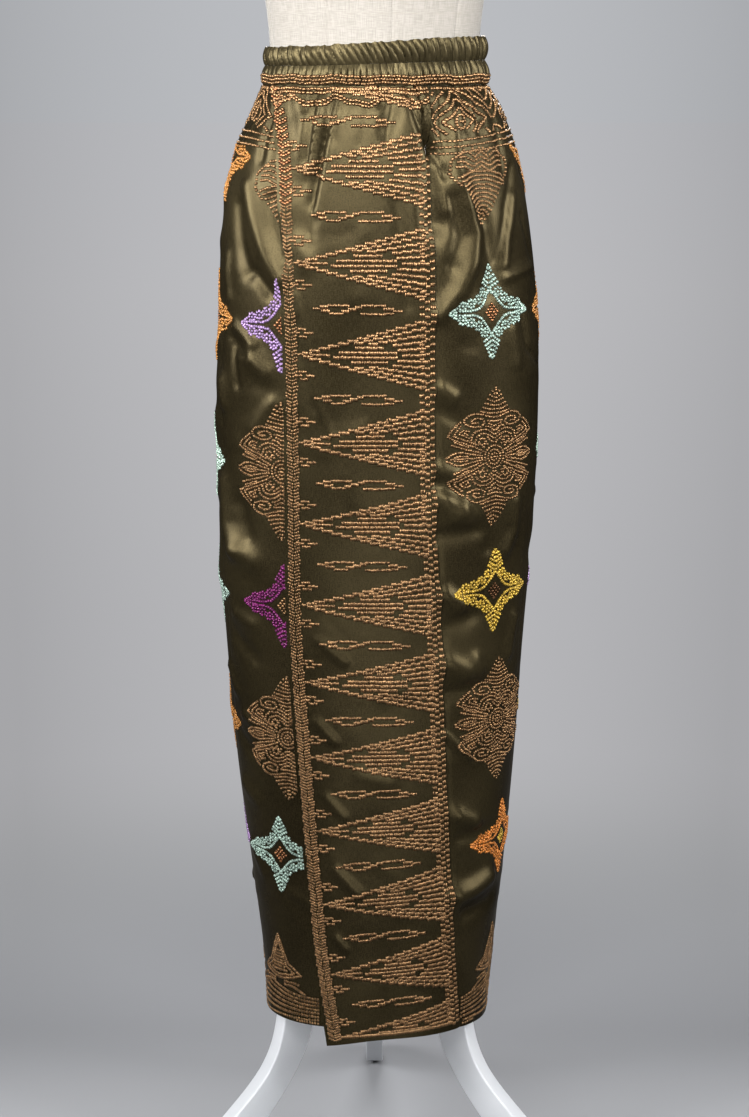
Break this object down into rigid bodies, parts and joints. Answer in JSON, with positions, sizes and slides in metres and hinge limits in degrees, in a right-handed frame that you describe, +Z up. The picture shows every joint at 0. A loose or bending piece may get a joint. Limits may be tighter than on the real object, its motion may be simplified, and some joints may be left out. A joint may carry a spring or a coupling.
{
  "type": "songket wrap skirt on dress form",
  "caption": "Long narrow wrap skirt of brocaded satin with a gathered elastic waist, worn by a limbless linen dress form on a three-legged stand.",
  "frame": {"origin": "on the floor, below the middle of the whole outline", "axes": "+Z up, along the length of the form; the front of the skirt faces -Y; +X is the viewer's right"},
  "size_m": [0.441, 0.3826, 1.6683],
  "materials": {
    "brocade_satin": "olive bronze satin with raised copper brocade",
    "plain_satin": "olive bronze satin, gathered",
    "linen": "off-white linen, matte",
    "white_paint": "white satin paint",
    "steel": "brushed",
    "rubber": "matte black"
  },
  "bodies": {
    "root": {"front_panel": "brocade_satin", "front_right": "brocade_satin", "left_front": "brocade_satin", "back": "brocade_satin", "waistband_upper": "plain_satin", "waistband_lower": "plain_satin", "form_torso": "linen", "neck_cap": "white_paint", "pole_flange": "steel", "pole": "steel", "hub": "white_paint", "leg_left": "white_paint", "leg_right": "white_paint", "leg_rear": "white_paint", "glide_left": "rubber", "glide_right": "rubber", "glide_rear": "rubber"}
  },
  "joints": []
}
